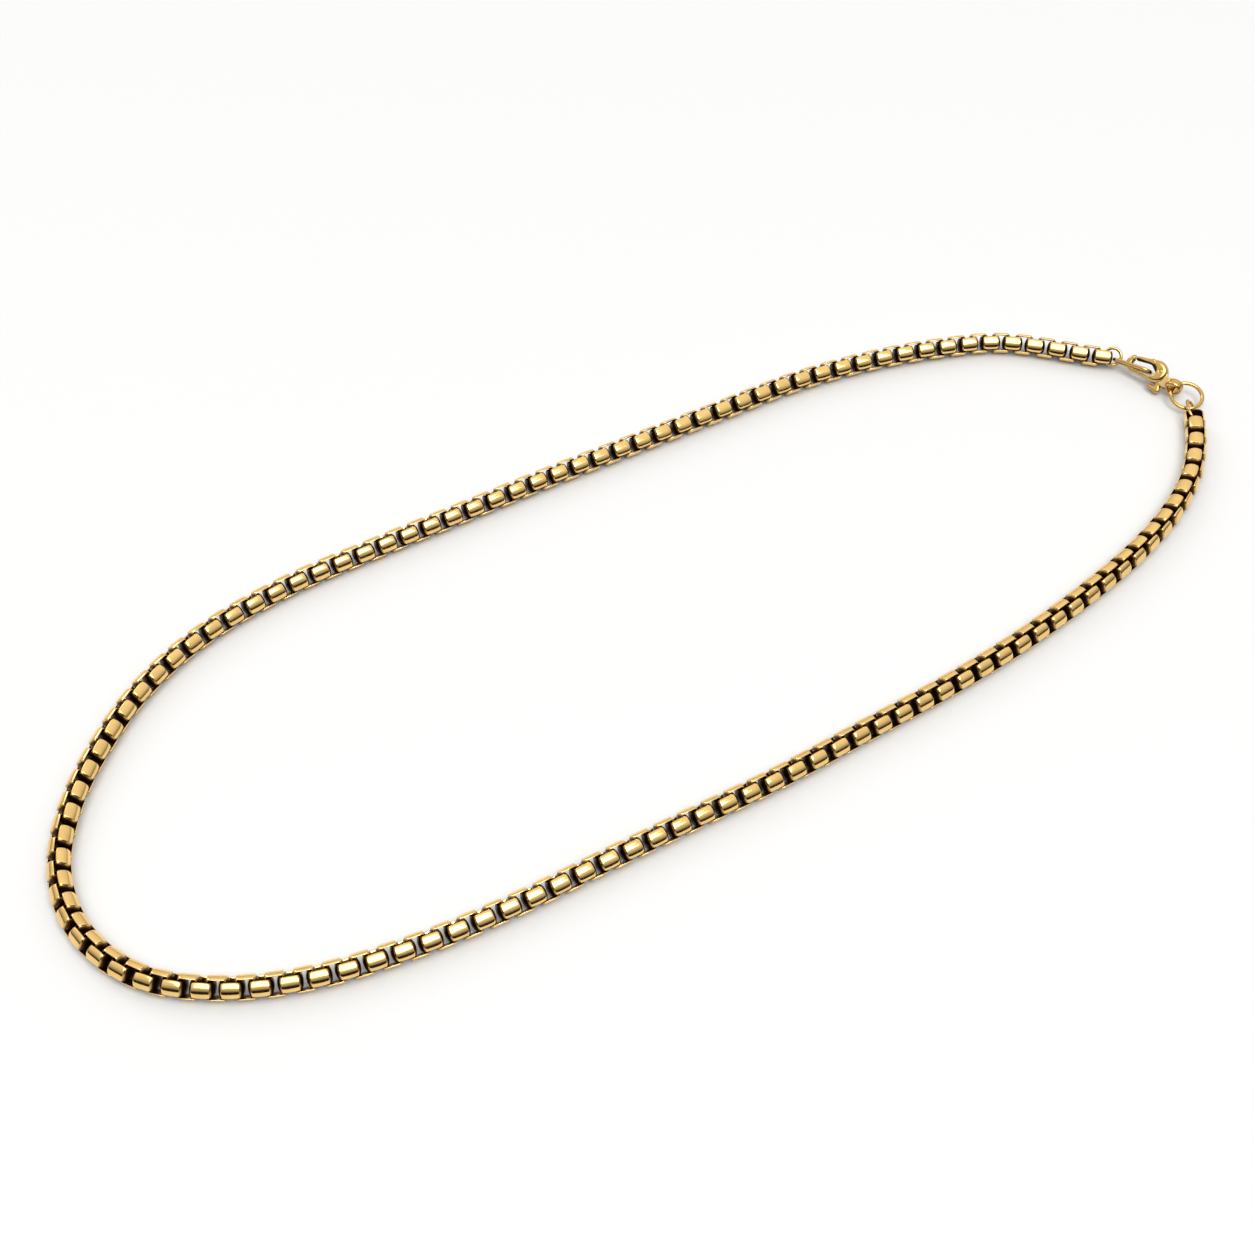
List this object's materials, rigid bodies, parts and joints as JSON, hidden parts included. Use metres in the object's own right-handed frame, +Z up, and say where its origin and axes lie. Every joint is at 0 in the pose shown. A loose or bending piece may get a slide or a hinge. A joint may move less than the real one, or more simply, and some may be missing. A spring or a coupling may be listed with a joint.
{
  "type": "box chain necklace",
  "caption": "Round box chain necklace laid down as a closed loop, fastened by a sprung lever clasp between oval and round rings.",
  "frame": {"origin": "middle of the necklace's bounding box, on the surface it rests on", "axes": "+X towards the clasp along the loop's length, +Y towards the stretch that leads to the catch ring, +Z up from the surface"},
  "size_m": [0.273, 0.0979, 0.0065],
  "materials": {
    "chain_gold": "polished",
    "ring_gold": "polished",
    "clasp_gold": "polished, with a satin tail"
  },
  "bodies": {
    "necklace": {"chain_front": "chain_gold", "chain_back": "chain_gold", "end_ring_back": "ring_gold", "catch_ring": "ring_gold", "clasp_body": "clasp_gold", "clasp_pin": "clasp_gold", "jump_ring": "ring_gold", "end_ring_front": "ring_gold"},
    "lever": {"clasp_lever": "clasp_gold"}
  },
  "joints": [
    {"name": "lever_hinge", "type": "hinge", "parent": "necklace", "child": "lever", "pos_m": [0.13162, 0.00436, 0.00393], "axis": [-0.6108, -0.2111, 0.7631], "range_deg": [0, 16], "stiffness_Nm_per_rad": 0.01, "springref_deg": -20.05}
  ]
}
